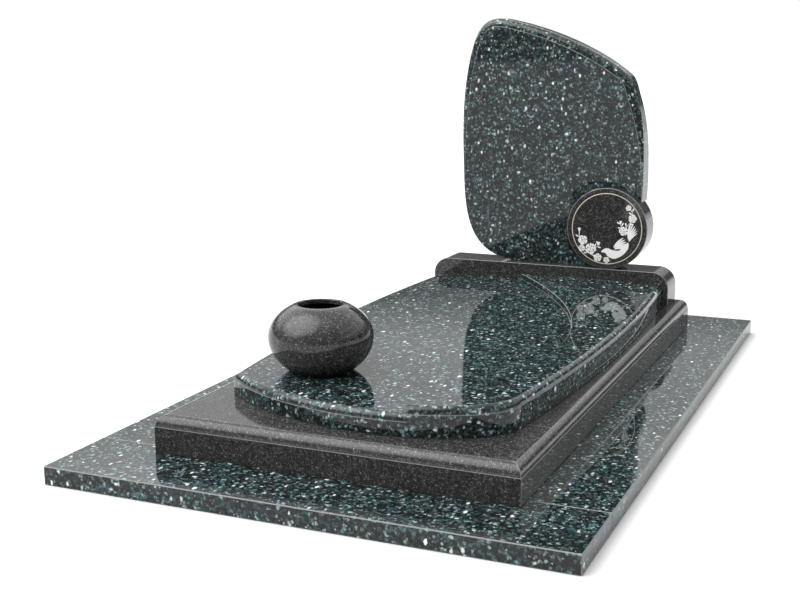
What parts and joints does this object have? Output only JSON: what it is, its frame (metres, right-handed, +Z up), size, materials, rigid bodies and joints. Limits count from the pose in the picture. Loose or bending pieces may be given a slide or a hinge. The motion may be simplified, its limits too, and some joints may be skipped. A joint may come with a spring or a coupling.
{
  "type": "headstone",
  "caption": "Granite grave monument: footing, kerb base, stepped ledger slab, free-form headstone on a head block, round ornament disc and a hollow vase.",
  "frame": {"origin": "middle of the footing's underside", "axes": "+Y runs along the grave towards the headstone, +Z is up, +X is to the right of someone who faces the headstone from the foot"},
  "size_m": [1.4, 2.35, 1.1641],
  "materials": {
    "large_grain_granite": "polished",
    "fine_granite": "polished",
    "ring_metal": "polished"
  },
  "bodies": {
    "root": {"footing_front": "large_grain_granite", "footing_left": "large_grain_granite", "footing_right": "large_grain_granite", "footing_back": "large_grain_granite", "kerb_front": "fine_granite", "kerb_left": "fine_granite", "kerb_right": "fine_granite", "kerb_back": "fine_granite", "slab": "large_grain_granite", "head_block": "fine_granite", "headstone": "large_grain_granite", "disc": "fine_granite", "disc_ring": "ring_metal", "vase": "fine_granite"}
  },
  "joints": []
}
